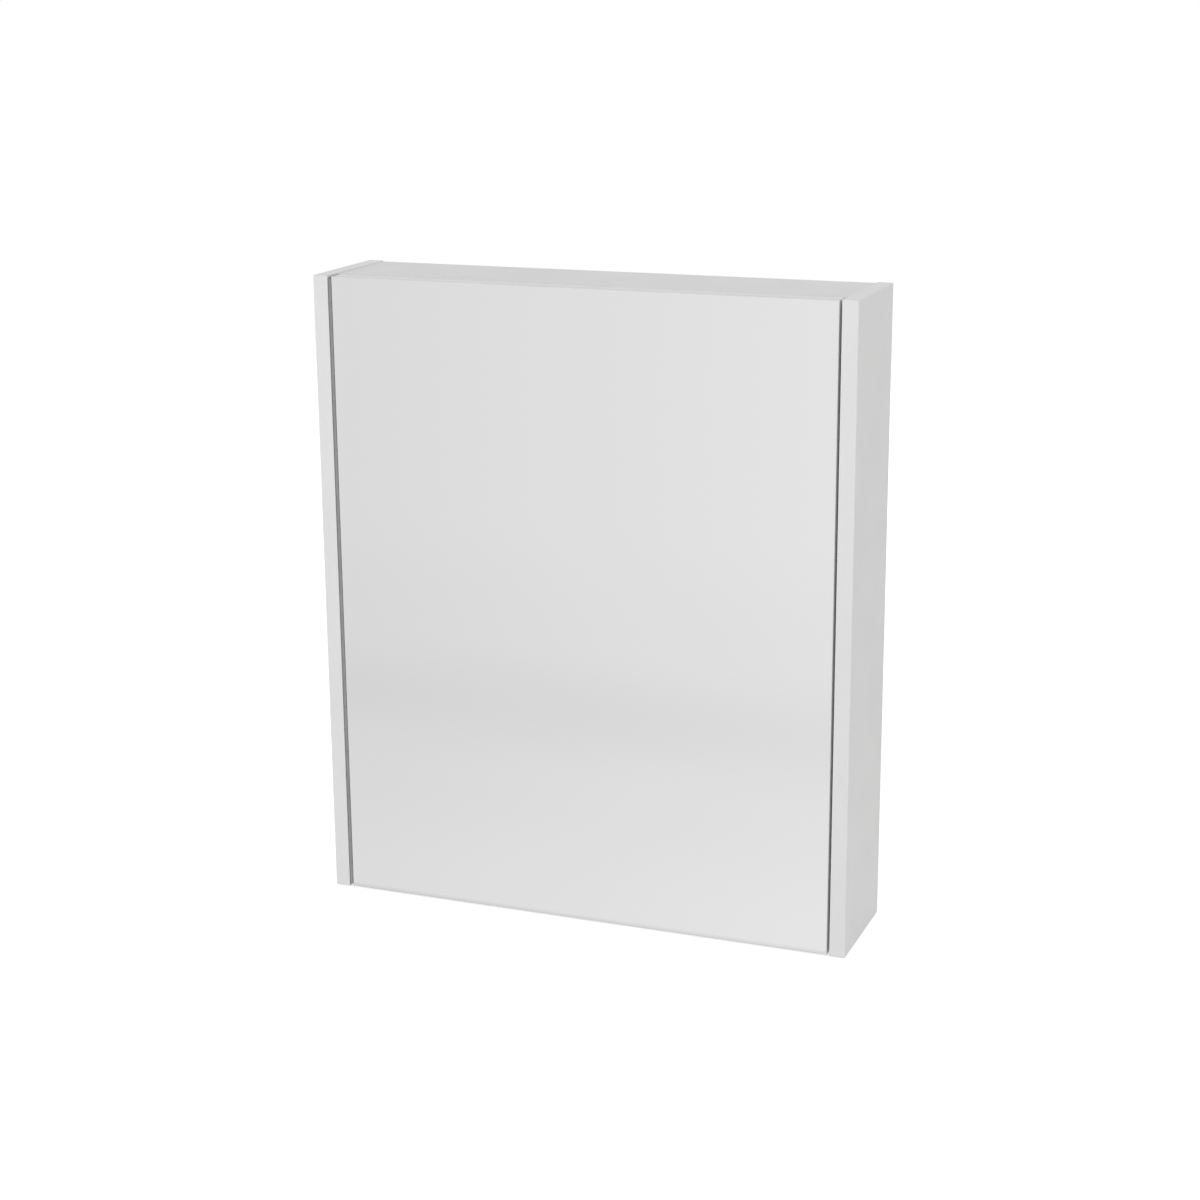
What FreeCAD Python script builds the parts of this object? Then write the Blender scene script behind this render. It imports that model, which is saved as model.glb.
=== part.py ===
import FreeCAD, Part
import os

# A wall-hung bathroom cabinet: a box of white boards, closed by one mirror door that
# hangs flush between the two full-height side panels, on a continuous hinge along its left edge.
# Frame: x to the right, y back towards the wall, z up. The origin is on the wall plane,
# midway between the two wall screws. All lengths are in millimetres.

Vector = FreeCAD.Vector

# Overall size
cabinet_width = 560.0
cabinet_height = 650.0
cabinet_depth = 125.0

# Boards of the carcass
board = 16.0                # side, top and bottom panels
edge_band = 1.0             # plastic strip glued along each visible board edge
edge_round = 0.8            # rounding of the strips' corners
top_recess = 1.0            # the top panel lies this far below the tops of the sides
finger_gap = 20.0           # the bottom panel lies this far above the feet of the sides
back_board = 3.0            # rear panel, held in grooves
side_groove = 6.0           # depth of the groove in the sides
panel_groove = 5.0          # depth of the groove in the top and bottom panels
groove_play = 0.1           # between the rear panel and each wall of its groove
groove_end_play = 0.3       # between the rear panel and the bottom of its groove
rail_board = 16.0           # wall rails, between the rear panel and the wall
hanging_rail_height = 72.0
lower_rail_height = 50.0
wall_screw_spacing = 400.0
wall_screw_hole = 3.0       # radius

# Door
hinge_side_gap = 4.0        # filled by the hinge
free_side_gap = 2.5
door_end_gap = 1.0          # at the door's top and bottom edges, to the ends of the sides
mirror_thickness = 4.0
mirror_arris = 0.6          # ground corner of the mirror's edge
tape_thickness = 1.0
tape_width = 25.0
tape_strips = 4
tape_inset = 30.0           # from the door's edges to the tape
door_board = 16.0
door_stop_gap = 2.0         # from the closed door to the top and bottom panels
bumper_radius = 4.0
bumper_rest_gap = 0.3       # between a bumper and the closed carcass
bumper_inset = 12.0         # from the door's free edge to the bumpers
bumper_round = 0.9

# Shelves
shelf_glass = 5.0
shelf_arris = 0.8
shelf_count = 2
shelf_side_gap = 1.0
shelf_back_gap = 1.0
shelf_setback = 7.0         # from the front of the carcass to the shelf's front edge
pad_thickness = 1.0
pad_length = 7.0
pad_width = 6.0
support_length = 9.0
support_radius = 3.5
support_flat = 1.0          # cut off the top of a support, for the pad
support_stem_radius = 2.5
support_stem_length = 9.0
support_end_play = 1.0      # below a support's stem
support_inset = 17.0        # from the shelf's front and back edges
hole_pitch = 32.0
holes_each_way = 2          # spare support holes above and below each shelf

# Board joints
fit = 0.02                  # around a part that is glued or pressed into its hole
dowel_radius = 4.0
dowel_in_panel = 22.0
dowel_end_play = 0.5
dowel_chamfer = 1.0
dowel_inset = 12.0          # from the panel's front edge, and from the rear panel, to the dowels
rail_dowel_spread = 15.0
side_skin = 4.0             # board left under a blind hole in a side
cam_radius = 7.4
cam_height = 12.0
cam_sink = 0.3              # cam below the board's face
cam_setback = 24.0          # from the panel's end to the cam's axis
cam_slot = 3.7              # radius of the room for the bolt's head
cam_cross = 1.6             # width of the driver's cross
cam_cross_depth = 2.5
cam_play = 0.1
bolt_thread_radius = 3.0
bolt_shank_radius = 3.4
bolt_neck_radius = 2.0
bolt_head_radius = 3.3
bolt_head_length = 4.0
bolt_neck_length = 5.0
cap_radius = 8.6
cap_thickness = 1.0
cap_round = 0.6

# Continuous hinge: two long leaves with knuckles in turn, on one pin
hinge_end_inset = 2.0       # from the door's ends to the hinge's ends
leaf_thickness = 0.8
leaf_inset = 1.5            # from the door's back to the leaves' rear edges
knuckle_count = 26
knuckle_end_gap = 0.3       # between neighbouring knuckles
knuckle_play = 0.15         # from a knuckle to the door or side it passes
knuckle_notch = 0.3         # from a knuckle to the notch in the facing leaf
pin_radius = 0.9
pin_play = 0.05             # running clearance in the knuckles
pin_depth = 1.5             # pin's axis behind the front plane
leaf_screws = 7             # in each leaf
leaf_screw_inset = 30.0     # from the hinge's ends to the side leaf's screws

# Magnetic catches, at the free side under the top panel and on the bottom panel
catch_inset = 50.0          # from the side panel to the catch's middle
catch_rest_gap = 0.3        # between the closed door's strike and the poles
housing_length = 38.0
housing_depth = 14.0
housing_height = 12.0
housing_round = 1.5
housing_setback = 1.0       # the poles stand this far out of the housing
ear_length = 10.0
ear_thickness = 2.6
pole_length = 28.0
pole_thickness = 1.2
pole_depth = 11.0
magnet_end_inset = 1.0      # from the poles' ends to the magnet's ends
magnet_thickness = 4.8
magnet_setback = 2.0        # behind the poles' front edges
pocket_play = 0.1
strike_end = 9.0            # of the strike beyond the poles, at each end
strike_height = 12.0
strike_thickness = 1.2
strike_corner = 2.0
strike_screw_inset = 5.0    # from the strike's ends

# Screws
leaf_screw = {"head": 2.5, "height": 0.8, "shank": 1.3, "length": 12.0}
catch_screw = {"head": 3.2, "height": 1.8, "shank": 1.6, "length": 13.0}
strike_screw = {"head": 2.8, "height": 0.8, "shank": 1.4, "length": 11.0}
screw_end_play = 0.5        # below a screw's tip
recess_width = 0.8
recess_depth_share = 0.6    # of the head's height
recess_span_share = 1.25    # of the head's radius
head_round_share = 0.45     # of the head's height

# Places that follow from the sizes above
front_y = -cabinet_depth
wall_y = 0.0
top_z = top_recess + board + hanging_rail_height / 2
bottom_z = top_z - cabinet_height
side_outer = cabinet_width / 2
side_inner = side_outer - board
inner_x = (-side_inner, side_inner)

mirror_y = (front_y, front_y + mirror_thickness)
tape_y = (mirror_y[1], mirror_y[1] + tape_thickness)
door_y = (tape_y[1], tape_y[1] + door_board)
door_back = door_y[1]
door_x = (-side_inner + hinge_side_gap, side_inner - free_side_gap)
door_z = (bottom_z + door_end_gap, top_z - door_end_gap)
carcass_front = door_back + door_stop_gap

back_y = (wall_y - rail_board - back_board, wall_y - rail_board)
rail_y = (back_y[1], wall_y)
top_panel_z = (top_z - top_recess - board, top_z - top_recess)
bottom_panel_z = (bottom_z + finger_gap, bottom_z + finger_gap + board)
hanging_rail_z = (top_panel_z[0] - hanging_rail_height, top_panel_z[0])
lower_rail_z = (bottom_panel_z[1], bottom_panel_z[1] + lower_rail_height)
panel_y = (carcass_front + edge_band, wall_y)

dowel_ys = (carcass_front + dowel_inset, back_y[0] - dowel_inset)
cam_y = sum(dowel_ys) / 2
panel_mids_z = [sum(z) / 2 for z in (top_panel_z, bottom_panel_z)]
rail_mid_y = sum(rail_y) / 2
hole_in_side = board - side_skin
hole_in_panel = dowel_in_panel + dowel_end_play

shelf_y = (carcass_front + shelf_setback, back_y[0] - shelf_back_gap)
compartment = (top_panel_z[0] - bottom_panel_z[1]) / (shelf_count + 1)
shelf_zs = [bottom_panel_z[1] + compartment * (k + 1) for k in range(shelf_count)]
support_ys = (shelf_y[0] + support_inset, shelf_y[1] - support_inset)
support_drop = pad_thickness + support_radius - support_flat   # shelf's underside to the support's axis
support_hole_depth = support_stem_length + support_end_play

hinge_x = -side_inner + hinge_side_gap / 2
hinge_y = front_y + pin_depth
hinge_z = (door_z[0] + hinge_end_inset, door_z[1] - hinge_end_inset)
knuckle_radius = hinge_side_gap / 2 - knuckle_play
knuckle_pitch = (hinge_z[1] - hinge_z[0]) / knuckle_count
leaf_y = (hinge_y + knuckle_radius + knuckle_notch, door_back - leaf_inset)
leaf_screw_y = sum(door_y) / 2

strike_length = pole_length + 2 * strike_end
strike_y = (door_back, door_back + strike_thickness)
pole_y = (strike_y[1] + catch_rest_gap, strike_y[1] + catch_rest_gap + pole_depth)
magnet_y = (pole_y[0] + magnet_setback, pole_y[1])
housing_y = (pole_y[0] + housing_setback, pole_y[0] + housing_setback + housing_depth)
catch_x = side_inner - catch_inset
# For each catch: the face it is screwed to, and which way that face looks.
catches = {"upper": (top_panel_z[0], -1), "lower": (bottom_panel_z[1], 1)}


def block(x, y, z):
    return Part.makeBox(x[1] - x[0], y[1] - y[0], z[1] - z[0], Vector(x[0], y[0], z[0]))


def rod(start, direction, radius, length):
    return Part.makeCylinder(radius, length, Vector(*start), Vector(*direction))


def about(centre, size):
    return (centre - size / 2, centre + size / 2)


def edges_in_plane(shape, axis, value, along=None):
    # Edges that lie wholly in the plane where the axis, 0 to 2, has that value.
    found = []
    for edge in shape.Edges:
        ends = [vertex.Point for vertex in edge.Vertexes]
        flat = all(abs(point[axis] - value) < 1e-6 for point in ends)
        run = [max(p[k] for p in ends) - min(p[k] for p in ends) for k in range(3)]
        if flat and (along is None or run.index(max(run)) == along):
            found.append(edge)
    return found


def screw(head_seat, direction, sizes):
    # A pan-head screw with a cross recess: its head stands on the seat, its shank runs on from there.
    head = rod((0, 0, -sizes["height"]), (0, 0, 1), sizes["head"], sizes["height"])
    crown = edges_in_plane(head, 2, -sizes["height"])
    head = head.makeFillet(sizes["height"] * head_round_share, crown)
    shank = rod((0, 0, 0), (0, 0, 1), sizes["shank"], sizes["length"])
    tip = edges_in_plane(shank, 2, sizes["length"])
    shank = shank.makeChamfer(sizes["shank"] / 2, tip)
    depth = (-sizes["height"], -sizes["height"] * (1 - recess_depth_share))
    span = sizes["head"] * recess_span_share
    cross = [
        block(about(0, span), about(0, recess_width), depth),
        block(about(0, recess_width), about(0, span), depth),
    ]
    made = head.fuse(shank).cut(cross).removeSplitter()
    turn = FreeCAD.Rotation(Vector(0, 0, 1), Vector(*direction))
    made.Placement = FreeCAD.Placement(Vector(*head_seat), turn)
    return made


def save(name, *solids):
    shape = solids[0] if len(solids) == 1 else Part.makeCompound(list(solids))
    shape.exportStep(os.path.join("parts", name + ".step"))


# Places of the board joints, shared by the holes and by what goes in them

def dowel_places():
    places = [(y, z) for z in panel_mids_z for y in dowel_ys]
    for rail_z in (hanging_rail_z, lower_rail_z):
        places += [(rail_mid_y, sum(rail_z) / 2 + s * rail_dowel_spread) for s in (-1, 1)]
    return places


def support_places(shelf_z):
    return [(y, shelf_z - support_drop) for y in support_ys]


def leaf_screw_places(leaf):
    # Heights of the screws in the side leaf, 0, or in the door leaf, 1, which sit half a step apart.
    first = hinge_z[0] + leaf_screw_inset
    step = (hinge_z[1] - leaf_screw_inset - first) / (leaf_screws - 0.5)
    return [first + step * (k + leaf / 2) for k in range(leaf_screws)]


def catch_screw_places():
    spread = (housing_length + ear_length) / 2
    return [(catch_x + s * spread, sum(housing_y) / 2) for s in (-1, 1)]


def strike_screw_places(face, outward):
    z = face + outward * housing_height / 2
    spread = strike_length / 2 - strike_screw_inset
    return [(catch_x + s * spread, z) for s in (-1, 1)]


# Carcass

def side_panel(side):
    inner = side * side_inner
    into = (side, 0, 0)
    x = sorted((inner, side * side_outer))
    core = block(x, (front_y + edge_band, wall_y), (bottom_z + edge_band, top_z - edge_band))
    groove_x = sorted((inner, inner + side * side_groove))
    groove_y = (back_y[0] - groove_play, back_y[1] + groove_play)
    holes = [block(groove_x, groove_y, (bottom_z, top_z))]
    for y, z in dowel_places():
        holes.append(rod((inner, y, z), into, dowel_radius + fit, hole_in_side))
    for z in panel_mids_z:
        holes.append(rod((inner, cam_y, z), into, bolt_thread_radius + fit, hole_in_side))
    for shelf_z in shelf_zs:
        for y, z in support_places(shelf_z):
            for step in range(-holes_each_way, holes_each_way + 1):
                start = (inner, y, z + step * hole_pitch)
                holes.append(rod(start, into, support_stem_radius + fit, support_hole_depth))
    if side < 0:
        depth = leaf_screw["length"] - leaf_thickness + screw_end_play
        for z in leaf_screw_places(0):
            holes.append(rod((inner, leaf_screw_y, z), into, leaf_screw["shank"] + fit, depth))
    return core.cut(holes)


def side_bands(side):
    x = sorted((side * side_inner, side * side_outer))
    front = block(x, (front_y, front_y + edge_band), (bottom_z, top_z))
    front = front.makeFillet(edge_round, edges_in_plane(front, 1, front_y))
    bands = [front]
    for z, face in (((top_z - edge_band, top_z), top_z), ((bottom_z, bottom_z + edge_band), bottom_z)):
        end = block(x, (front_y + edge_band, wall_y), z)
        bands.append(end.makeFillet(edge_round, edges_in_plane(end, 2, face, along=1)))
    return bands


def level_panel(z, outward):
    # Its cams are in its inner face, which looks into the cabinet, so the outer face is plain.
    mid_z = sum(z) / 2
    inner_face = z[0] if outward > 0 else z[1]
    groove_y = (back_y[0] - groove_play, back_y[1] + groove_play)
    groove_z = sorted((inner_face, inner_face + outward * panel_groove))
    cuts = [block(inner_x, groove_y, groove_z)]
    for side in (-1, 1):
        end = side * side_inner
        into = (-side, 0, 0)
        for y in dowel_ys:
            cuts.append(rod((end, y, mid_z), into, dowel_radius + fit, hole_in_panel))
        bolt_reach = cam_setback + bolt_head_length
        cuts.append(rod((end, cam_y, mid_z), into, bolt_shank_radius + fit, bolt_reach))
        cam_mouth = (end - side * cam_setback, cam_y, inner_face)
        cuts.append(rod(cam_mouth, (0, 0, outward), cam_radius + cam_play, cam_height + cam_sink))
    depth = catch_screw["length"] - ear_thickness + screw_end_play
    for x, y in catch_screw_places():
        cuts.append(rod((x, y, inner_face), (0, 0, outward), catch_screw["shank"] + fit, depth))
    return block(inner_x, panel_y, z).cut(cuts)


def panel_band(z):
    band = block(inner_x, (carcass_front, carcass_front + edge_band), z)
    return band.makeFillet(edge_round, edges_in_plane(band, 1, carcass_front, along=0))


def back_panel():
    reach_x = side_inner + side_groove - groove_end_play
    reach_z = panel_groove - groove_end_play
    z = (bottom_panel_z[1] - reach_z, top_panel_z[0] + reach_z)
    return block((-reach_x, reach_x), back_y, z).cut(wall_screw_holes())


def wall_screw_holes():
    depth = wall_y - back_y[0]
    return [
        rod((s * wall_screw_spacing / 2, wall_y, 0), (0, -1, 0), wall_screw_hole, depth)
        for s in (-1, 1)
    ]


def rail(z):
    ends = []
    for side in (-1, 1):
        for s in (-1, 1):
            start = (side * side_inner, rail_mid_y, sum(z) / 2 + s * rail_dowel_spread)
            ends.append(rod(start, (-side, 0, 0), dowel_radius + fit, hole_in_panel))
    return block(inner_x, rail_y, z).cut(ends)


# Board joints

def dowels():
    made = []
    length = hole_in_side - dowel_end_play + dowel_in_panel
    for side in (-1, 1):
        start_x = side * (side_inner + hole_in_side - dowel_end_play)
        for y, z in dowel_places():
            dowel = rod((start_x, y, z), (-side, 0, 0), dowel_radius, length)
            ends = edges_in_plane(dowel, 0, start_x) + edges_in_plane(dowel, 0, start_x - side * length)
            made.append(dowel.makeChamfer(dowel_chamfer, ends))
    return made


def cam_places():
    # For each cam: its side, its panel's middle height and inner face, and which way that face looks.
    faces = ((panel_mids_z[0], top_panel_z[0], -1), (panel_mids_z[1], bottom_panel_z[1], 1))
    return [(side, mid_z, face, outward) for side in (-1, 1) for mid_z, face, outward in faces]


def cam_lock(side, mid_z, face, outward):
    x = side * (side_inner - cam_setback)
    top = face - outward * cam_sink
    cam = rod((x, cam_y, top), (0, 0, -outward), cam_radius, cam_height)
    mouth = rod((x - side * bolt_head_length, cam_y, mid_z), (side, 0, 0), cam_slot, cam_radius * 2)
    span = cam_radius * recess_span_share
    cross_z = sorted((top, top - outward * cam_cross_depth))
    cross = [
        block(about(x, span), about(cam_y, cam_cross), cross_z),
        block(about(x, cam_cross), about(cam_y, span), cross_z),
    ]
    return cam.cut([mouth] + cross)


def cam_bolt(side, mid_z):
    into = (-side, 0, 0)
    thread_length = hole_in_side - dowel_end_play
    thread_start = side * (side_inner + thread_length)
    head_start = side * (side_inner - cam_setback + bolt_head_length / 2)
    neck_start = head_start + side * bolt_neck_length
    shank_length = side * (side * side_inner - neck_start)
    thread = rod((thread_start, cam_y, mid_z), into, bolt_thread_radius, thread_length)
    shank = rod((side * side_inner, cam_y, mid_z), into, bolt_shank_radius, shank_length)
    neck = rod((neck_start, cam_y, mid_z), into, bolt_neck_radius, bolt_neck_length)
    head = rod((head_start, cam_y, mid_z), into, bolt_head_radius, bolt_head_length)
    return thread.fuse([shank, neck, head]).removeSplitter()


def cam_cap(side, face, outward):
    start = (side * (side_inner - cam_setback), cam_y, face)
    cap = rod(start, (0, 0, outward), cap_radius, cap_thickness)
    return cap.makeFillet(cap_round, edges_in_plane(cap, 2, face + outward * cap_thickness))


# Shelves

def shelf_name(k):
    if k == 0:
        return "lower"
    return "upper" if k == shelf_count - 1 else "middle_" + str(k)


def shelf(z):
    x = (inner_x[0] + shelf_side_gap, inner_x[1] - shelf_side_gap)
    glass = block(x, shelf_y, (z, z + shelf_glass))
    rims = edges_in_plane(glass, 2, z) + edges_in_plane(glass, 2, z + shelf_glass)
    return glass.makeChamfer(shelf_arris, rims)


def shelf_supports(z):
    made = []
    flat_z = z - pad_thickness
    for side in (-1, 1):
        inner = side * side_inner
        for y, axis_z in support_places(z):
            stem = rod((inner, y, axis_z), (side, 0, 0), support_stem_radius, support_stem_length)
            peg = rod((inner, y, axis_z), (-side, 0, 0), support_radius, support_length)
            nose = edges_in_plane(peg, 0, inner - side * support_length)
            peg = peg.makeFillet(support_radius / 4, nose)
            above = block((-side_outer, side_outer), about(y, 4 * support_radius), (flat_z, z + shelf_glass))
            made.append(peg.cut(above).fuse(stem).removeSplitter())
    return made


def shelf_pads(z):
    made = []
    for side in (-1, 1):
        tip = side * (side_inner - shelf_side_gap)
        for y, _ in support_places(z):
            x = sorted((tip, tip - side * pad_length))
            made.append(block(x, about(y, pad_width), (z - pad_thickness, z)))
    return made


# Door

def door_panel():
    core_x = (door_x[0] + edge_band, door_x[1] - edge_band)
    core_z = (door_z[0] + edge_band, door_z[1] - edge_band)
    bores = door_leaf_bores()
    depth = strike_screw["length"] - strike_thickness + screw_end_play
    for face, outward in catches.values():
        for x, z in strike_screw_places(face, outward):
            bores.append(rod((x, door_back, z), (0, -1, 0), strike_screw["shank"] + fit, depth))
    return block(core_x, door_y, core_z).cut(bores)


def door_leaf_bores():
    depth = leaf_screw["length"] - leaf_thickness + screw_end_play
    radius = leaf_screw["shank"] + fit
    return [rod((door_x[0], leaf_screw_y, z), (1, 0, 0), radius, depth) for z in leaf_screw_places(1)]


def door_bands():
    bands = []
    for face, x in (
        (door_x[0], (door_x[0], door_x[0] + edge_band)),
        (door_x[1], (door_x[1] - edge_band, door_x[1])),
    ):
        upright = block(x, door_y, door_z)
        upright = upright.makeFillet(edge_round, edges_in_plane(upright, 0, face, along=2))
        bands.append(upright.cut(door_leaf_bores()))
    between = (door_x[0] + edge_band, door_x[1] - edge_band)
    for face, z in (
        (door_z[0], (door_z[0], door_z[0] + edge_band)),
        (door_z[1], (door_z[1] - edge_band, door_z[1])),
    ):
        level = block(between, door_y, z)
        bands.append(level.makeFillet(edge_round, edges_in_plane(level, 2, face, along=0)))
    return bands


def mirror_glass():
    glass = block(door_x, mirror_y, door_z)
    rims = edges_in_plane(glass, 1, mirror_y[0]) + edges_in_plane(glass, 1, mirror_y[1])
    return glass.makeChamfer(mirror_arris, rims)


def mirror_tape():
    first = door_x[0] + tape_inset
    pitch = (door_x[1] - tape_inset - tape_width - first) / (tape_strips - 1)
    z = (door_z[0] + tape_inset, door_z[1] - tape_inset)
    starts = [first + pitch * k for k in range(tape_strips)]
    return [block((x, x + tape_width), tape_y, z) for x in starts]


def door_bumpers():
    made = []
    thickness = door_stop_gap - bumper_rest_gap
    for z in panel_mids_z:
        start = (door_x[1] - bumper_inset, door_back, z)
        dome = rod(start, (0, 1, 0), bumper_radius, thickness)
        made.append(dome.makeFillet(bumper_round, edges_in_plane(dome, 1, door_back + thickness)))
    return made


# Continuous hinge

def hinge_leaf(leaf):
    # The side leaf, 0, has the even knuckles and the door leaf, 1, the odd ones.
    x = (-side_inner, -side_inner + leaf_thickness)
    inward = 1
    if leaf == 1:
        x = (door_x[0] - leaf_thickness, door_x[0])
        inward = -1
    pieces = []
    for k in range(leaf, knuckle_count, 2):
        z = about(hinge_z[0] + (k + 0.5) * knuckle_pitch, knuckle_pitch - knuckle_end_gap)
        pieces.append(block(x, (hinge_y, leaf_y[0]), z))
        pieces.append(rod((hinge_x, hinge_y, z[0]), (0, 0, 1), knuckle_radius, z[1] - z[0]))
    plate = block(x, leaf_y, hinge_z).fuse(pieces).removeSplitter()
    start_z = hinge_z[0] - knuckle_pitch
    bore_length = hinge_z[1] - hinge_z[0] + 2 * knuckle_pitch
    holes = [rod((hinge_x, hinge_y, start_z), (0, 0, 1), pin_radius + pin_play, bore_length)]
    seat = x[0] if inward > 0 else x[1]
    for z in leaf_screw_places(leaf):
        start = (seat, leaf_screw_y, z)
        holes.append(rod(start, (inward, 0, 0), leaf_screw["shank"] + fit, leaf_thickness))
    return plate.cut(holes)


def hinge_pin():
    length = hinge_z[1] - hinge_z[0]
    pin = rod((hinge_x, hinge_y, hinge_z[0]), (0, 0, 1), pin_radius, length)
    ends = edges_in_plane(pin, 2, hinge_z[0]) + edges_in_plane(pin, 2, hinge_z[1])
    return pin.makeChamfer(pin_radius / 3, ends)


def hinge_screws(leaf):
    seat = -side_inner + leaf_thickness
    into = (-1, 0, 0)
    if leaf == 1:
        seat = door_x[0] - leaf_thickness
        into = (1, 0, 0)
    return [screw((seat, leaf_screw_y, z), into, leaf_screw) for z in leaf_screw_places(leaf)]


# Magnetic catches

def pole_heights(face, outward):
    mid_z = face + outward * housing_height / 2
    offset = (magnet_thickness + pole_thickness) / 2
    return [about(mid_z + s * offset, pole_thickness) for s in (-1, 1)]


def catch_housing(face, outward):
    z = sorted((face, face + outward * housing_height))
    body = block(about(catch_x, housing_length), housing_y, z)
    crown = edges_in_plane(body, 2, face + outward * housing_height)
    body = body.makeFillet(housing_round, crown)
    ear_z = sorted((face, face + outward * ear_thickness))
    ears = block(about(catch_x, housing_length + 2 * ear_length), housing_y, ear_z)
    ears = ears.makeFillet(ear_length / 3, [e for e in ears.Edges if e.BoundBox.ZLength > ear_thickness / 2])
    pocket_height = magnet_thickness + 2 * pole_thickness + 2 * pocket_play
    pocket_y = (housing_y[0], pole_y[1] + pocket_play)
    pocket_z = about(face + outward * housing_height / 2, pocket_height)
    cuts = [block(about(catch_x, pole_length + 2 * pocket_play), pocket_y, pocket_z)]
    for x, y in catch_screw_places():
        cuts.append(rod((x, y, face), (0, 0, outward), catch_screw["shank"] + fit, ear_thickness))
    return body.fuse(ears).cut(cuts).removeSplitter()


def catch_poles(face, outward):
    return [block(about(catch_x, pole_length), pole_y, z) for z in pole_heights(face, outward)]


def catch_magnet(face, outward):
    z = about(face + outward * housing_height / 2, magnet_thickness)
    return block(about(catch_x, pole_length - 2 * magnet_end_inset), magnet_y, z)


def catch_screws():
    made = []
    for face, outward in catches.values():
        for x, y in catch_screw_places():
            made.append(screw((x, y, face + outward * ear_thickness), (0, 0, -outward), catch_screw))
    return made


def strike_plate(face, outward):
    z = about(face + outward * housing_height / 2, strike_height)
    plate = block(about(catch_x, strike_length), strike_y, z)
    corners = [e for e in plate.Edges if e.BoundBox.YLength > strike_thickness / 2]
    holes = []
    for x, screw_z in strike_screw_places(face, outward):
        start = (x, strike_y[0], screw_z)
        holes.append(rod(start, (0, 1, 0), strike_screw["shank"] + fit, strike_thickness))
    return plate.makeFillet(strike_corner, corners).cut(holes)


def strike_screws():
    made = []
    for face, outward in catches.values():
        for x, z in strike_screw_places(face, outward):
            made.append(screw((x, strike_y[1], z), (0, -1, 0), strike_screw))
    return made


def main():
    os.makedirs("parts", exist_ok=True)
    for name, side in (("left", -1), ("right", 1)):
        save(name + "_side_panel", side_panel(side))
        save(name + "_edge_bands", *side_bands(side))
    save("top_panel", level_panel(top_panel_z, 1))
    save("bottom_panel", level_panel(bottom_panel_z, -1))
    save("top_edge_band", panel_band(top_panel_z))
    save("bottom_edge_band", panel_band(bottom_panel_z))
    save("back_panel", back_panel())
    save("hanging_rail", rail(hanging_rail_z).cut(wall_screw_holes()))
    save("lower_rail", rail(lower_rail_z))

    save("dowels", *dowels())
    save("cam_locks", *[cam_lock(*place) for place in cam_places()])
    save("cam_bolts", *[cam_bolt(side, mid_z) for side, mid_z, _, _ in cam_places()])
    save("cam_caps", *[cam_cap(side, face, outward) for side, _, face, outward in cam_places()])

    for k, z in enumerate(shelf_zs):
        name = shelf_name(k)
        save(name + "_shelf", shelf(z))
        save(name + "_shelf_supports", *shelf_supports(z))
        save(name + "_shelf_pads", *shelf_pads(z))

    save("door_panel", door_panel())
    save("door_edge_bands", *door_bands())
    save("mirror_glass", mirror_glass())
    save("mirror_tape", *mirror_tape())
    save("door_bumpers", *door_bumpers())

    save("hinge_side_leaf", hinge_leaf(0))
    save("hinge_door_leaf", hinge_leaf(1))
    save("hinge_pin", hinge_pin())
    save("hinge_side_screws", *hinge_screws(0))
    save("hinge_door_screws", *hinge_screws(1))

    for name, (face, outward) in catches.items():
        save(name + "_catch_housing", catch_housing(face, outward))
        save(name + "_catch_poles", *catch_poles(face, outward))
        save(name + "_catch_magnet", catch_magnet(face, outward))
        save(name + "_strike_plate", strike_plate(face, outward))
    save("catch_screws", *catch_screws())
    save("strike_screws", *strike_screws())


main()
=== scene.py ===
import math
import bpy
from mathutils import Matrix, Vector


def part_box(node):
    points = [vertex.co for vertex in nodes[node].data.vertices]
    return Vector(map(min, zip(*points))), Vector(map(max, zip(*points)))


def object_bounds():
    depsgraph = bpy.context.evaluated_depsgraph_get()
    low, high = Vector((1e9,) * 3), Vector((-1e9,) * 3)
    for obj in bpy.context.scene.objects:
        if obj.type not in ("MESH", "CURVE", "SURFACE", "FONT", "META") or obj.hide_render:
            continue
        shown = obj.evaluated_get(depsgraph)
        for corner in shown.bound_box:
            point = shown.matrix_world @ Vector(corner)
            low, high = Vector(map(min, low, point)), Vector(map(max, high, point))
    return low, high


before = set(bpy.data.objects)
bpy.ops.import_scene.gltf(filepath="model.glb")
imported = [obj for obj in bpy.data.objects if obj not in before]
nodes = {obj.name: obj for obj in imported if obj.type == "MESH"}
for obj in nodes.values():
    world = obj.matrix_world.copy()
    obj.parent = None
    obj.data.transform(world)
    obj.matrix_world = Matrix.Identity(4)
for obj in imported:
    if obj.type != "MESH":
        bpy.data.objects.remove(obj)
cadBox = [Vector(corner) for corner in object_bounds()]
dressed = set()
print("frame loaded:", len(nodes), "nodes")


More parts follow.
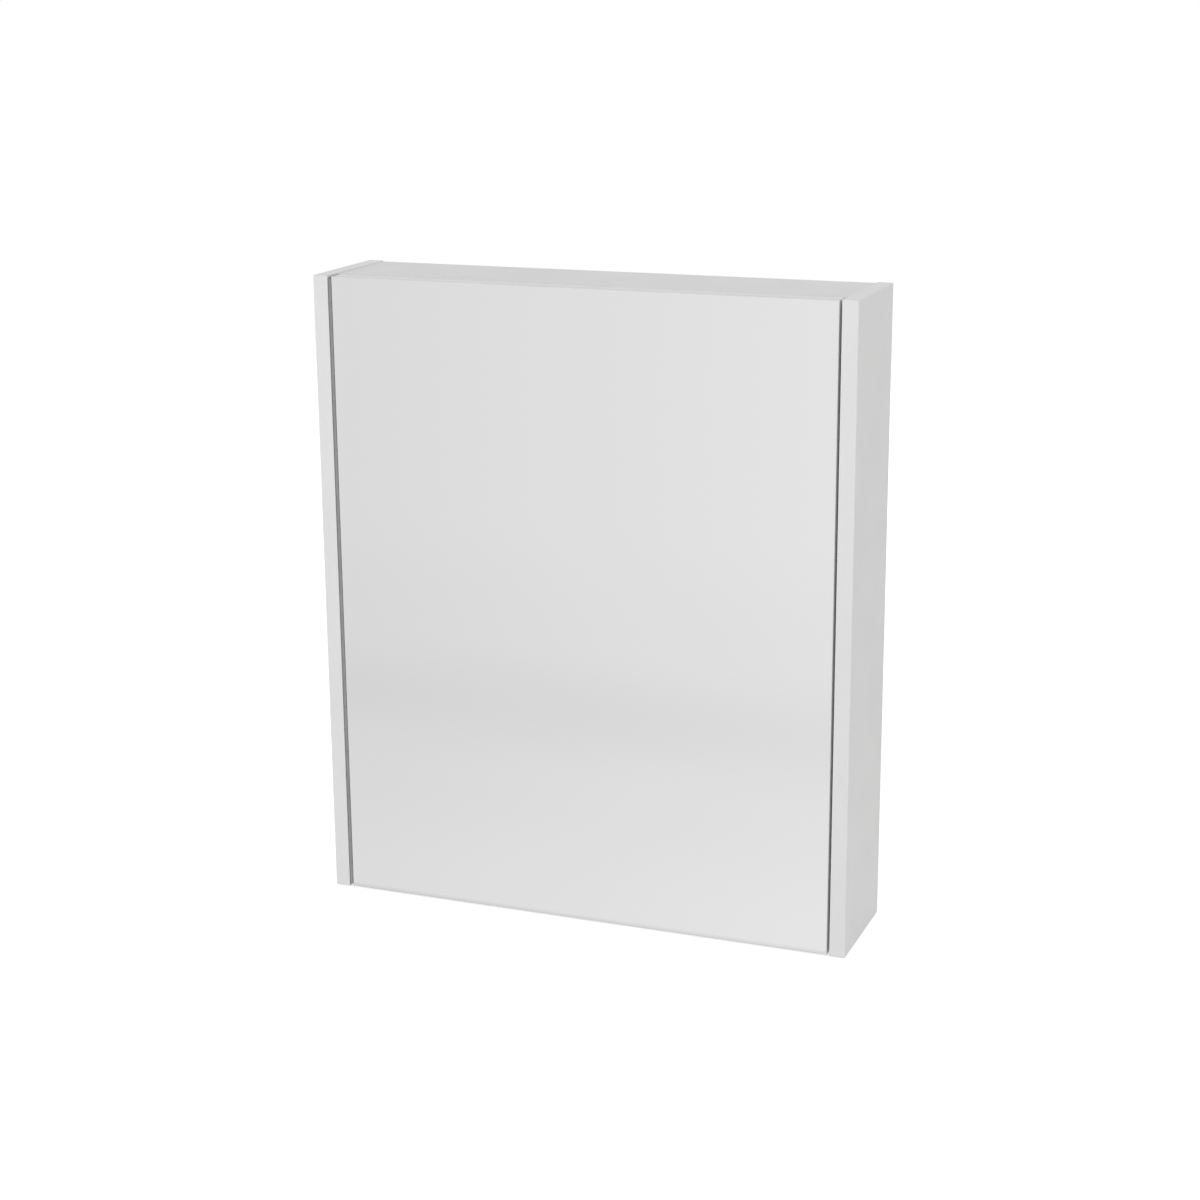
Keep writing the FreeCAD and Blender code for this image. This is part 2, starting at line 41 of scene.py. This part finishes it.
# one shader socket; sums on it add Math nodes, node() adds anything else
class Wire:
    def __init__(self, tree, socket=None):
        self.tree = tree
        self.socket = socket

    def plug(self, target, value):
        if isinstance(value, Wire):
            self.tree.links.new(value.socket, target)
        else:
            target.default_value = value

    def node(self, kind, settings=None, inputs=None, output=0):
        made = self.tree.nodes.new("ShaderNode" + kind)
        for name, value in (settings or {}).items():
            if name == "stops":
                self.setStops(made.color_ramp, value)
            else:
                setattr(made, name, value)
        for name, value in (inputs or {}).items():
            self.plug(made.inputs[name], value)
        return Wire(self.tree, made.outputs[output])

    def setStops(self, ramp, stops):
        ramp.interpolation = "EASE"
        while len(ramp.elements) < len(stops):
            ramp.elements.new(0.5)
        for element, (at, grey) in zip(ramp.elements, stops):
            element.position = at
            element.color = (grey, grey, grey, 1)

    def surface(self, values):
        bsdf = self.tree.nodes["Principled BSDF"]
        for name, value in values.items():
            self.plug(bsdf.inputs[name], value)

    def calc(self, operation, first, second=0.0):
        return self.node("Math", {"operation": operation}, {0: first, 1: second})

    def __add__(self, other):
        return self.calc("ADD", self, other)

    def __sub__(self, other):
        return self.calc("SUBTRACT", self, other)

    def __rsub__(self, other):
        return self.calc("SUBTRACT", other, self)

    def __mul__(self, other):
        return self.calc("MULTIPLY", self, other)

    def __truediv__(self, other):
        return self.calc("DIVIDE", self, other)

    def __rtruediv__(self, other):
        return self.calc("DIVIDE", other, self)

    def __gt__(self, other):
        return self.calc("GREATER_THAN", self, other)

    def __lt__(self, other):
        return self.calc("LESS_THAN", self, other)

    __radd__ = __add__
    __rmul__ = __mul__


def startFinish(name):
    made = bpy.data.materials.new(name)
    made.use_nodes = True
    wire = Wire(made.node_tree)
    return made, wire, wire.node("TexCoord", output="Object")


def dress(finish, *names):
    for name in names:
        for slot in nodes[name].material_slots:
            slot.material = finish
            dressed.add(name)


def along(place, axis):
    return place.node("SeparateXYZ", None, {0: place}, output=axis)


def noise(place, scale, stretch=(1, 1, 1), detail=2.0, rough=0.5):
    spot = place.node("Mapping", None, {"Vector": place, "Scale": stretch})
    sockets = {"Vector": spot, "Scale": scale, "Detail": detail, "Roughness": rough}
    return place.node("TexNoise", None, sockets)


def cells(place, scale, stretch=(1, 1, 1), feature="F1", output="Distance"):
    spot = place.node("Mapping", None, {"Vector": place, "Scale": stretch})
    return place.node("TexVoronoi", {"feature": feature}, {"Vector": spot, "Scale": scale}, output=output)


# the same place, pushed about by up to reach metres
def astray(place, scale, reach):
    push = place.node("TexNoise", None, {"Vector": place, "Scale": scale}, output="Color")
    return place.node("VectorMath", {"operation": "MULTIPLY_ADD"}, {0: push, 1: (reach,) * 3, 2: place})


def spread(value, low, high, outLow=0.0, outHigh=1.0):
    return value.node("MapRange", {"clamp": True}, {0: value, 1: low, 2: high, 3: outLow, 4: outHigh})


noiseRange = (0.3, 0.7)               # where most of a noise lies
toneRange = (0.35, 0.65)              # its middle, which mixes two tones


def vary(value, low, high):
    return spread(value, *noiseRange, low, high)


def between(value, low, high):
    return (value > low) * (value < high)


# sockets 6 and 7 and output 2 are those for colours
def mixColour(factor, first, second):
    ends = [colour if isinstance(colour, Wire) else (*colour, 1.0) for colour in (first, second)]
    return factor.node("Mix", {"data_type": "RGBA"}, {0: factor, 6: ends[0], 7: ends[1]}, output=2)


def bump(height, distance):
    return height.node("Bump", None, {"Strength": 1.0, "Distance": distance, "Height": height})


# camera
cameraSet = {
    "place": (0.8401, -2.2186, 0.3629),
    "turn": (74.64, 0.399, 21.183),
    "lens": 71.0,
    "sensor": 36.0,
}


def makeCamera():
    bpy.ops.object.select_all(action="DESELECT")
    turn = [math.radians(angle) for angle in cameraSet["turn"]]
    bpy.ops.object.camera_add(location=cameraSet["place"], rotation=turn)
    camera = bpy.context.object
    camera.data.sensor_width = cameraSet["sensor"]
    camera.data.lens = cameraSet["lens"]
    bpy.context.scene.camera = camera


makeCamera()
print("camera set")


# floor, world and lamps
stageSet = {
    "floorSize": 40.0,
    "floorDrop": 0.0005,              # below the cabinet's foot
    "floorGrey": 0.72,
    "floorLift": 0.64,                # glow that only the camera sees, so the floor reads white
    "worldLight": 0.507,
    "worldView": 0.92,                # what shiny and clear things see above the floor
    "shineLeft": 0.876,               # what they see of the floor, far to the left
    "shineRight": 0.960,              # and straight ahead
    "shineFan": (0.84, 1.97),         # the tones fan out from here
    "shineAngles": (0.516, 0.286),    # how far left per metre towards the front, for those two tones
    "shineEnd": (-0.10, 0.60),        # behind the cabinet they fade into one, in y
    "shineFar": (5.6, 15.0),          # and so they do far away, so that no horizon shows
    "bandReach": (-1.80, -0.15),      # a soft darker band across the floor in front, in y, painted for the mirror to reflect
    # how far along that reach, and the tone there
    "bandStops": ((0.0, 1.0), (0.45, 0.978), (0.63, 0.933), (0.80, 0.982), (1.0, 1.013)),
}
lampSet = {
    "key": {"place": (-1.3, -4.4, 0.60), "size": 3.0, "watts": 88.0},
    "side": {"place": (3.4, -1.6, 0.35), "size": 2.4, "watts": 31.0},
    "back": {"place": (-0.4, 2.7, 1.0), "size": 2.2, "watts": 29.0},
}


# painted reflection: a glow that only shiny and clear rays see, fanning out from the camera's mirror image
# and crossed by a soft darker band, so that the mirror shows a gradient and a band
def floorShine(place):
    away = along(place, "Y")
    fan = (stageSet["shineFan"][0] - along(place, "X")) / (stageSet["shineFan"][1] - away)
    tone = spread(fan, *stageSet["shineAngles"], stageSet["shineLeft"], stageSet["shineRight"])
    reach = spread(away, *stageSet["bandReach"])
    band = place.node("ValToRGB", {"stops": stageSet["bandStops"]}, {0: reach})
    behind = spread(away, *stageSet["shineEnd"])
    distance = place.node("VectorMath", {"operation": "LENGTH"}, {0: place}, output="Value")
    fade = place.calc("MAXIMUM", behind, spread(distance, *stageSet["shineFar"]))
    return tone * band * (1 - fade) + fade * stageSet["worldView"]


def shinyRays(wire):
    glossy = wire.node("LightPath", output="Is Glossy Ray")
    return glossy + wire.node("LightPath", output="Is Transmission Ray")


def makeFloor():
    bpy.ops.object.select_all(action="DESELECT")
    level = cadBox[0].z - stageSet["floorDrop"]
    bpy.ops.mesh.primitive_plane_add(size=stageSet["floorSize"], location=(0, 0, level))
    bpy.ops.object.transform_apply(location=True, rotation=True, scale=True)
    floor = bpy.context.object
    floor.name = "studio_floor"
    made, wire, place = startFinish("studio_floor")
    tree = made.node_tree
    tree.nodes.remove(tree.nodes["Principled BSDF"])
    seen = wire.node("LightPath", output="Is Camera Ray")
    lit = wire.node("BsdfDiffuse", None, {"Color": (*[stageSet["floorGrey"]] * 3, 1)})
    lift = wire.node("Emission", None, {"Strength": seen * stageSet["floorLift"]})
    shown = wire.node("AddShader", None, {0: lit, 1: lift})
    shine = wire.node("Emission", None, {"Strength": floorShine(place)})
    above = wire.node("MixShader", None, {0: shinyRays(wire), 1: shown, 2: shine})
    under = wire.node("NewGeometry", output="Backfacing")     # seen from below, the floor is clear
    last = wire.node("MixShader", None, {0: under, 1: above, 2: wire.node("BsdfTransparent")})
    wire.plug(tree.nodes["Material Output"].inputs["Surface"], last)
    floor.data.materials.append(made)


def makeWorld():
    world = bpy.data.worlds.new("studio_world")
    world.use_nodes = True
    bpy.context.scene.world = world
    wire = Wire(world.node_tree)
    back = world.node_tree.nodes["Background"]
    seen = wire.node("LightPath", output="Is Camera Ray")
    shiny = shinyRays(wire)
    rest = 1 - seen - shiny
    wire.plug(back.inputs["Color"], (1, 1, 1, 1))
    wire.plug(back.inputs["Strength"], seen + shiny * stageSet["worldView"] + rest * stageSet["worldLight"])


def makeLamps():
    middle = (cadBox[0] + cadBox[1]) / 2
    for name, lamp in lampSet.items():
        at = Vector(lamp["place"])
        turn = (middle - at).to_track_quat("-Z", "Y").to_euler()
        bpy.ops.object.select_all(action="DESELECT")
        bpy.ops.object.light_add(type="AREA", location=at, rotation=turn)
        made = bpy.context.object
        made.name = "lamp_" + name
        made.data.shape = "SQUARE"
        made.data.size = lamp["size"]
        made.data.energy = lamp["watts"]
        made.visible_glossy = False       # the mirror shows no lamp


makeFloor()
makeWorld()
makeLamps()
print("stage set")


# boards: white melamine faces, raw chipboard wherever a board is cut or drilled
boardSet = {
    "white": (0.800, 0.800, 0.795),
    "shade": (0.782, 0.782, 0.778),
    "clouds": 7.0,                    # to a metre, as all scales here
    "pearl": 1500.0,                  # fine pressed texture
    "touched": 24.0,                  # smoother and duller places
    "rough": (0.34, 0.42),
    "cloudShare": 0.7,                # of the tone; the pearl gives the rest
    "pearlHeight": 0.12,
    "chipHeight": 2.0,
    "relief": 0.00015,
    "skin": 0.00012,                  # thickness of the melamine
}
chipSet = {
    "dark": (0.34, 0.225, 0.125),
    "mid": (0.53, 0.395, 0.245),
    "pale": (0.69, 0.56, 0.39),
    "pit": (0.21, 0.135, 0.075),      # painted shade in the voids between the flakes
    "flakes": 330.0,
    "flat": (2.4, 0.8),               # flakes lie flat: scale across the board, and along it
    "dust": 1200.0,                   # in the fine layers under the faces
    "dustFrom": (0.55, 0.80),         # share of the half thickness where those layers start
    "grit": 1500.0,
    "ragged": (500.0, 0.0020),        # how often and how far a flake's outline strays
    "coreShare": 0.6,                 # of the tone that the flakes give
    "dustShare": (0.25, 0.45),        # that the dust gives in the core, and what it gains outwards
    "gritShare": 0.3,
    "tones": (0.25, 0.5, 0.75),       # where the dark, mid and pale colours lie
    "gap": (0.07, 0.01),              # how near to a flake's rim a pit starts and is deep
    "gapGrit": (0.42, 0.58),          # and where the grit leaves it open
    "rough": 0.9,
}
boardAxes = {
    "left_side_panel": "X",
    "right_side_panel": "X",
    "top_panel": "Z",
    "bottom_panel": "Z",
    "hanging_rail": "Y",
    "lower_rail": "Y",
    "door_panel": "Y",
}


def chipboard(place, axis, low, high):
    flat = [chipSet["flat"][0] if name == axis else chipSet["flat"][1] for name in "XYZ"]
    depth = place.calc("ABSOLUTE", along(place, axis) - (low + high) / 2) / ((high - low) / 2)
    outer = spread(depth, *chipSet["dustFrom"])
    ragged = astray(place, *chipSet["ragged"])
    flakes = cells(ragged, chipSet["flakes"], flat, output="Color")
    dust = cells(ragged, chipSet["dust"], flat, output="Color")
    grit = noise(place, chipSet["grit"], detail=3.0)
    core = place.node("RGBToBW", None, {0: flakes})
    fine = place.node("RGBToBW", None, {0: dust})
    inCore, gained = chipSet["dustShare"]
    tone = core * chipSet["coreShare"] * (1 - outer)
    tone = tone + fine * (inCore + outer * gained) + grit * chipSet["gritShare"]
    rim = cells(ragged, chipSet["flakes"], flat, feature="DISTANCE_TO_EDGE")
    # painted shade: the voids near a flake's rim are darkened, and also sunk by the bump
    pit = spread(rim, *chipSet["gap"]) * spread(grit, *chipSet["gapGrit"]) * (1 - outer)
    dark, mid, pale = chipSet["tones"]
    colour = mixColour(spread(tone, dark, mid), chipSet["dark"], chipSet["mid"])
    colour = mixColour(spread(tone, mid, pale), colour, chipSet["pale"])
    return mixColour(pit, colour, chipSet["pit"]), tone - pit


def melamine(name, axis):
    index = "XYZ".index(axis)
    low, high = [corner[index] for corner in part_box(name)]
    made, wire, place = startFinish("white_board_" + name)
    raw = between(along(place, axis), low + boardSet["skin"], high - boardSet["skin"])
    chipColour, chipRise = chipboard(place, axis, low, high)
    clouds = noise(place, boardSet["clouds"], detail=3.0)
    pearl = noise(place, boardSet["pearl"])
    share = boardSet["cloudShare"]
    tone = spread(clouds * share + pearl * (1 - share), *toneRange)
    white = mixColour(tone, boardSet["shade"], boardSet["white"])
    smooth = vary(noise(place, boardSet["touched"], detail=4.0), *boardSet["rough"])
    height = pearl * boardSet["pearlHeight"] * (1 - raw) + chipRise * boardSet["chipHeight"] * raw
    wire.surface({
        "Base Color": mixColour(raw, white, chipColour),
        "Roughness": smooth * (1 - raw) + raw * chipSet["rough"],
        "Normal": bump(height, boardSet["relief"]),
    })
    dress(made, name)


for boardName, boardAxis in boardAxes.items():
    melamine(boardName, boardAxis)
print("boards dressed")


# edge strips and caps: smoother white plastic with the faint ripple of the trimmer
stripSet = {
    "white": (0.805, 0.806, 0.803),
    "shade": (0.790, 0.791, 0.789),
    "clouds": 11.0,
    "ripple": 120.0,
    "fine": 2600.0,
    "rough": (0.27, 0.35),
    "rippleHeight": 0.5,
    "fineHeight": 0.12,
    "relief": 0.00006,
}


def edgeStrip():
    made, wire, place = startFinish("white_edge_strip")
    clouds = noise(place, stripSet["clouds"])
    ripple = noise(place, stripSet["ripple"], detail=1.0)
    fine = noise(place, stripSet["fine"])
    height = ripple * stripSet["rippleHeight"] + fine * stripSet["fineHeight"]
    wire.surface({
        "Base Color": mixColour(spread(clouds, *toneRange), stripSet["shade"], stripSet["white"]),
        "Roughness": vary((fine + ripple) / 2, *stripSet["rough"]),
        "Normal": bump(height, stripSet["relief"]),
    })
    dress(made, "left_edge_bands", "right_edge_bands", "door_edge_bands")
    dress(made, "top_edge_band", "bottom_edge_band", "cam_caps")


edgeStrip()


# rear panel: white lacquer inside, brown hardboard with a screen pattern towards the wall
rearSet = {
    "lacquer": (0.785, 0.785, 0.780),
    "brown": (0.235, 0.140, 0.075),
    "brownPale": (0.350, 0.225, 0.130),
    "fleck": (0.130, 0.075, 0.040),
    "patches": 14.0,
    "pulp": 240.0,
    "fibres": 1100.0,
    "flecks": 330.0,
    "fibreRun": (1, 1, 0.35),         # fibres and flecks lie longer upright
    "fleckRun": (1, 1, 0.5),
    "screen": 420.0,                  # wires to a metre
    "peel": 160.0,                    # faint waves in the lacquer
    "shares": (0.18, 0.52, 0.30),     # of patches, pulp and fibres in the tone of the brown
    "tones": (0.38, 0.62),
    "fleckSize": (0.16, 0.06),        # where a fleck starts and is darkest
    "fleckShare": 0.55,
    "screenHeight": 0.5,
    "peelHeight": 0.3,
    "rough": (0.36, 0.12, 0.35),      # lacquer, what its waves add, and what the bare board adds
    "relief": 0.00018,
}


def rearPanel():
    made, wire, place = startFinish("rear_hardboard")
    rear = along(place, "Y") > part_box("back_panel")[0].y + boardSet["skin"]
    patches = noise(place, rearSet["patches"])
    pulp = noise(place, rearSet["pulp"], detail=5.0, rough=0.62)
    fibres = noise(place, rearSet["fibres"], rearSet["fibreRun"], detail=4.0)
    ofPatches, ofPulp, ofFibres = rearSet["shares"]
    tone = spread(patches * ofPatches + pulp * ofPulp + fibres * ofFibres, *rearSet["tones"])
    spots = cells(place, rearSet["flecks"], rearSet["fleckRun"])
    flecks = spread(spots, *rearSet["fleckSize"], 0.0, rearSet["fleckShare"])
    turns = 2 * math.pi * rearSet["screen"]
    screen = wire.calc("SINE", along(place, "X") * turns) * wire.calc("SINE", along(place, "Z") * turns)
    peel = noise(place, rearSet["peel"])
    white = mixColour(peel, rearSet["lacquer"], boardSet["white"])
    brown = mixColour(flecks, mixColour(tone, rearSet["brown"], rearSet["brownPale"]), rearSet["fleck"])
    lacquerRough, peelRough, bareRough = rearSet["rough"]
    height = (screen * rearSet["screenHeight"] + fibres) * rear + peel * rearSet["peelHeight"] * (1 - rear)
    wire.surface({
        "Base Color": mixColour(rear, white, brown),
        "Roughness": lacquerRough + peel * peelRough + rear * bareRough,
        "Normal": bump(height, rearSet["relief"]),
    })
    dress(made, "back_panel")


rearPanel()


# mirror: silvered face, ground arris, polished edge and grey backing paint, with painted shade along its
# foot
mirrorSet = {
    "silver": (0.800, 0.804, 0.802),
    "arris": (0.78, 0.80, 0.79),
    "edge": (0.71, 0.74, 0.728),
    "paint": (0.23, 0.25, 0.26),
    # colour of the painted shade along the mirror's foot
    "stainAndShade": (0.28, 0.29, 0.285),
    "footShadeReach": 0.0048,             # painted shade: the foot is a little darker, up to this height
    "footShadeShare": 0.27,
    "arrisDepth": 0.0006,
    "faceDepth": 0.00003,             # what lies this close to the front or rear plane is the face itself
    "haze": 9.0,                      # places that are polished less
    "polish": (0.010, 0.022),
    "edgeRough": 0.16,
    "arrisRough": 0.36,
    "paintRough": 0.56,
    "grind": 1800.0,
    "relief": 0.00003,
}


def mirrorFace():
    made, wire, place = startFinish("mirror_silver")
    low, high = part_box("mirror_glass")
    depth = along(place, "Y")
    silver = depth < low.y + mirrorSet["faceDepth"]
    arris = (1 - silver) * (depth < low.y + mirrorSet["arrisDepth"])
    paint = depth > high.y - mirrorSet["faceDepth"]
    edge = 1 - silver - arris - paint
    grind = noise(place, mirrorSet["grind"])
    colour = mixColour(arris, mirrorSet["edge"], mirrorSet["arris"])
    colour = mixColour(paint, colour, mirrorSet["paint"])
    colour = mixColour(silver, colour, mirrorSet["silver"])
    # painted shade: the lowest few millimetres of the mirror are darker towards its foot
    stainAndShade = spread(along(place, "Z"), low.z, low.z + mirrorSet["footShadeReach"], mirrorSet["footShadeShare"], 0.0)
    polish = vary(noise(place, mirrorSet["haze"], detail=3.0), *mirrorSet["polish"])
    dull = edge * mirrorSet["edgeRough"] + arris * mirrorSet["arrisRough"] + paint * mirrorSet["paintRough"]
    wire.surface({
        "Base Color": mixColour(stainAndShade, colour, mirrorSet["stainAndShade"]),
        "Metallic": silver,
        "Roughness": silver * polish + dull,
        "Normal": bump(grind * (1 - silver), mirrorSet["relief"]),
    })
    dress(made, "mirror_glass")


mirrorFace()
print("mirror dressed")


# shelves: clear glass, greener at the ground edges
glassSet = {
    "face": (0.93, 0.975, 0.955),
    "edge": (0.42, 0.72, 0.60),
    "edgeWidth": 0.0012,
    "edgeShine": 0.5,                 # share of the light that an edge throws back
    "faceRough": 0.006,
    "edgeRough": (0.086, 0.186),
    "bend": 1.5,                      # index of refraction
    "grind": 1500.0,
    "relief": 0.00002,
}


def shelfGlass(name):
    made, wire, place = startFinish("clear_glass_" + name)
    low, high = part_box(name)
    width = glassSet["edgeWidth"]
    inside = between(along(place, "X"), low.x + width, high.x - width)
    inside = inside * between(along(place, "Y"), low.y + width, high.y - width)
    grind = noise(place, glassSet["grind"])
    ground = spread(grind, 0.0, 1.0, *glassSet["edgeRough"])
    wire.surface({
        "Base Color": mixColour(inside, glassSet["edge"], glassSet["face"]),
        "Metallic": (1 - inside) * glassSet["edgeShine"],
        "Roughness": inside * glassSet["faceRough"] + (1 - inside) * ground,
        "Transmission Weight": 1.0,
        "IOR": glassSet["bend"],
        "Normal": bump(grind * (1 - inside), glassSet["relief"]),
    })
    dress(made, name)


shelfGlass("upper_shelf")
shelfGlass("lower_shelf")
print("shelves dressed")


# sheet steel and wire, brushed along one axis
brushSet = {
    "streaks": 900.0,
    "stains": 60.0,
    "streakShare": 0.6,               # of the tone; the stains give the rest
    "dark": 0.82,                     # the darkest places, as a share of the tone
    "relief": 0.00003,
}
steelSet = {
    "hinge_steel": {
        "tone": (0.38, 0.38, 0.385),
        "brushed": (1.0, 1.0, 0.03),
        "rough": (0.26, 0.38),
        "wornBy": ("hinge_side_leaf", "hinge_door_leaf"),
    },
    "pin_steel": {
        "tone": (0.50, 0.50, 0.50),
        "brushed": (1.0, 1.0, 0.03),
        "rough": (0.30, 0.42),
        "wornBy": ("hinge_pin",),
    },
    "plate_steel": {
        "tone": (0.46, 0.46, 0.47),
        "brushed": (0.04, 1.0, 1.0),
        "rough": (0.26, 0.40),
        "wornBy": ("upper_strike_plate", "lower_strike_plate", "upper_catch_poles", "lower_catch_poles"),
    },
}


def brushedSteel(name, steel):
    made, wire, place = startFinish(name)
    streak = noise(place, brushSet["streaks"], steel["brushed"], detail=3.0, rough=0.6)
    stainAndShade = noise(place, brushSet["stains"], detail=4.0)
    share = brushSet["streakShare"]
    tone = spread(streak * share + stainAndShade * (1 - share), *toneRange)
    dark = [part * brushSet["dark"] for part in steel["tone"]]
    wire.surface({
        "Base Color": mixColour(tone, dark, steel["tone"]),
        "Metallic": 1.0,
        "Roughness": vary(streak, *steel["rough"]),
        "Normal": bump(streak, brushSet["relief"]),
    })
    dress(made, *steel["wornBy"])


for steelName, steelLook in steelSet.items():
    brushedSteel(steelName, steelLook)


# screws: bright zinc with a faint blue and straw bloom
zincSet = {
    "blue": (0.60, 0.63, 0.68),
    "straw": (0.68, 0.66, 0.60),
    "bloom": 380.0,
    "fine": 2200.0,
    "tones": (0.38, 0.62),
    "rough": (0.20, 0.34),
    "relief": 0.00002,
}


def zincScrew():
    made, wire, place = startFinish("bright_zinc")
    bloom = noise(place, zincSet["bloom"], detail=3.0)
    fine = noise(place, zincSet["fine"])
    wire.surface({
        "Base Color": mixColour(spread(bloom, *zincSet["tones"]), zincSet["blue"], zincSet["straw"]),
        "Metallic": 1.0,
        "Roughness": vary(fine, *zincSet["rough"]),
        "Normal": bump(fine, zincSet["relief"]),
    })
    dress(made, "hinge_side_screws", "hinge_door_screws", "catch_screws", "strike_screws")


# cam fittings: grey cast zinc
castSet = {
    "dark": (0.38, 0.38, 0.39),
    "pale": (0.56, 0.56, 0.57),
    "skin": 700.0,
    "rough": (0.38, 0.55),
    "relief": 0.00008,
}


def castZinc():
    made, wire, place = startFinish("cast_zinc")
    skin = noise(place, castSet["skin"], detail=4.0, rough=0.6)
    wire.surface({
        "Base Color": mixColour(skin, castSet["dark"], castSet["pale"]),
        "Metallic": 1.0,
        "Roughness": vary(skin, *castSet["rough"]),
        "Normal": bump(skin, castSet["relief"]),
    })
    dress(made, "cam_locks", "cam_bolts")


# shelf supports: turned and nickel plated
nickelSet = {
    "dark": (0.62, 0.60, 0.56),
    "pale": (0.72, 0.70, 0.67),
    "haze": 140.0,
    "lathe": 2400.0,
    "latheRun": (1.0, 0.05, 0.05),    # the tool's marks go round the x axis
    "rough": (0.10, 0.20),
    "relief": 0.00001,
}


def nickelPeg():
    made, wire, place = startFinish("polished_nickel")
    haze = noise(place, nickelSet["haze"], detail=3.0)
    lathe = noise(place, nickelSet["lathe"], nickelSet["latheRun"])
    wire.surface({
        "Base Color": mixColour(haze, nickelSet["dark"], nickelSet["pale"]),
        "Metallic": 1.0,
        "Roughness": vary(haze, *nickelSet["rough"]),
        "Normal": bump(lathe, nickelSet["relief"]),
    })
    dress(made, "upper_shelf_supports", "lower_shelf_supports")


zincScrew()
castZinc()
nickelPeg()
print("metals dressed")


# catch housings: white plastic with a spark-eroded grain
plasticSet = {
    "shade": (0.755, 0.757, 0.750),
    "white": (0.800, 0.800, 0.795),
    "spark": 1700.0,
    "flow": 45.0,
    "rough": (0.42, 0.56),
    "relief": 0.00005,
}


def mouldedWhite():
    made, wire, place = startFinish("moulded_white")
    spark = noise(place, plasticSet["spark"], detail=3.0, rough=0.6)
    flow = noise(place, plasticSet["flow"])
    wire.surface({
        "Base Color": mixColour(flow, plasticSet["shade"], plasticSet["white"]),
        "Roughness": vary(spark, *plasticSet["rough"]),
        "Normal": bump(spark, plasticSet["relief"]),
    })
    dress(made, "upper_catch_housing", "lower_catch_housing")


# pads and bumpers: clear silicone with a little dust on it
siliconeSet = {
    "clear": (0.86, 0.88, 0.87),
    "dusty": (0.79, 0.81, 0.80),
    "dust": 900.0,
    "tones": (0.4, 0.7),
    "rough": (0.16, 0.26),
    "through": 0.7,                   # share of the light that goes through
    "bend": 1.41,
    "relief": 0.00001,
}


def clearSilicone():
    made, wire, place = startFinish("clear_silicone")
    dust = noise(place, siliconeSet["dust"], detail=4.0)
    tone = spread(dust, *siliconeSet["tones"])
    wire.surface({
        "Base Color": mixColour(tone, siliconeSet["clear"], siliconeSet["dusty"]),
        "Roughness": vary(dust, *siliconeSet["rough"]),
        "Transmission Weight": siliconeSet["through"],
        "IOR": siliconeSet["bend"],
        "Normal": bump(dust, siliconeSet["relief"]),
    })
    dress(made, "upper_shelf_pads", "lower_shelf_pads", "door_bumpers")


# mirror tape: white foam with open pores, with painted shade inside the pores
foamSet = {
    "pore": (0.52, 0.52, 0.51),
    "white": (0.70, 0.70, 0.69),
    "pores": 1500.0,
    "poreSize": (0.1, 0.6),
    "rough": 0.85,
    "relief": 0.0002,
}


def foamTape():
    made, wire, place = startFinish("foam_tape")
    # painted shade: the pores are darker towards their middles, and sunk by the bump
    pores = cells(place, foamSet["pores"])
    wire.surface({
        "Base Color": mixColour(spread(pores, *foamSet["poreSize"]), foamSet["pore"], foamSet["white"]),
        "Roughness": foamSet["rough"],
        "Normal": bump(pores, foamSet["relief"]),
    })
    dress(made, "mirror_tape")


# catch magnets: dark sintered ferrite
ferriteSet = {
    "black": (0.030, 0.030, 0.033),
    "grey": (0.085, 0.085, 0.090),
    "grain": 1300.0,
    "tones": (0.4, 0.7),
    "rough": (0.50, 0.68),
    "relief": 0.00008,
}


def ferrite():
    made, wire, place = startFinish("ferrite")
    grain = noise(place, ferriteSet["grain"], detail=4.0, rough=0.7)
    tone = spread(grain, *ferriteSet["tones"])
    wire.surface({
        "Base Color": mixColour(tone, ferriteSet["black"], ferriteSet["grey"]),
        "Roughness": vary(grain, *ferriteSet["rough"]),
        "Normal": bump(grain, ferriteSet["relief"]),
    })
    dress(made, "upper_catch_magnet", "lower_catch_magnet")


# dowels: beech with its small dark flecks, the grain along x
beechSet = {
    "dark": (0.56, 0.36, 0.19),
    "pale": (0.68, 0.48, 0.29),
    "fleck": (0.42, 0.25, 0.12),
    "grain": 260.0,
    "grainRun": (0.06, 1.0, 1.0),
    "flecks": 600.0,
    "fleckRun": (0.15, 1.0, 1.0),
    "fleckSize": 0.2,
    "fleckShare": 0.5,
    "rough": (0.55, 0.70),
    "relief": 0.0001,
}


def beechDowel():
    made, wire, place = startFinish("beech")
    grain = noise(place, beechSet["grain"], beechSet["grainRun"], detail=4.0)
    flecks = cells(place, beechSet["flecks"], beechSet["fleckRun"]) < beechSet["fleckSize"]
    wood = mixColour(spread(grain, *toneRange), beechSet["dark"], beechSet["pale"])
    wire.surface({
        "Base Color": mixColour(flecks * beechSet["fleckShare"], wood, beechSet["fleck"]),
        "Roughness": vary(grain, *beechSet["rough"]),
        "Normal": bump(grain, beechSet["relief"]),
    })
    dress(made, "dowels")


mouldedWhite()
clearSilicone()
foamTape()
ferrite()
beechDowel()
print("small parts dressed; nodes left over:", sorted(set(nodes) - dressed))

bpy.context.scene.view_settings.view_transform = "Standard"
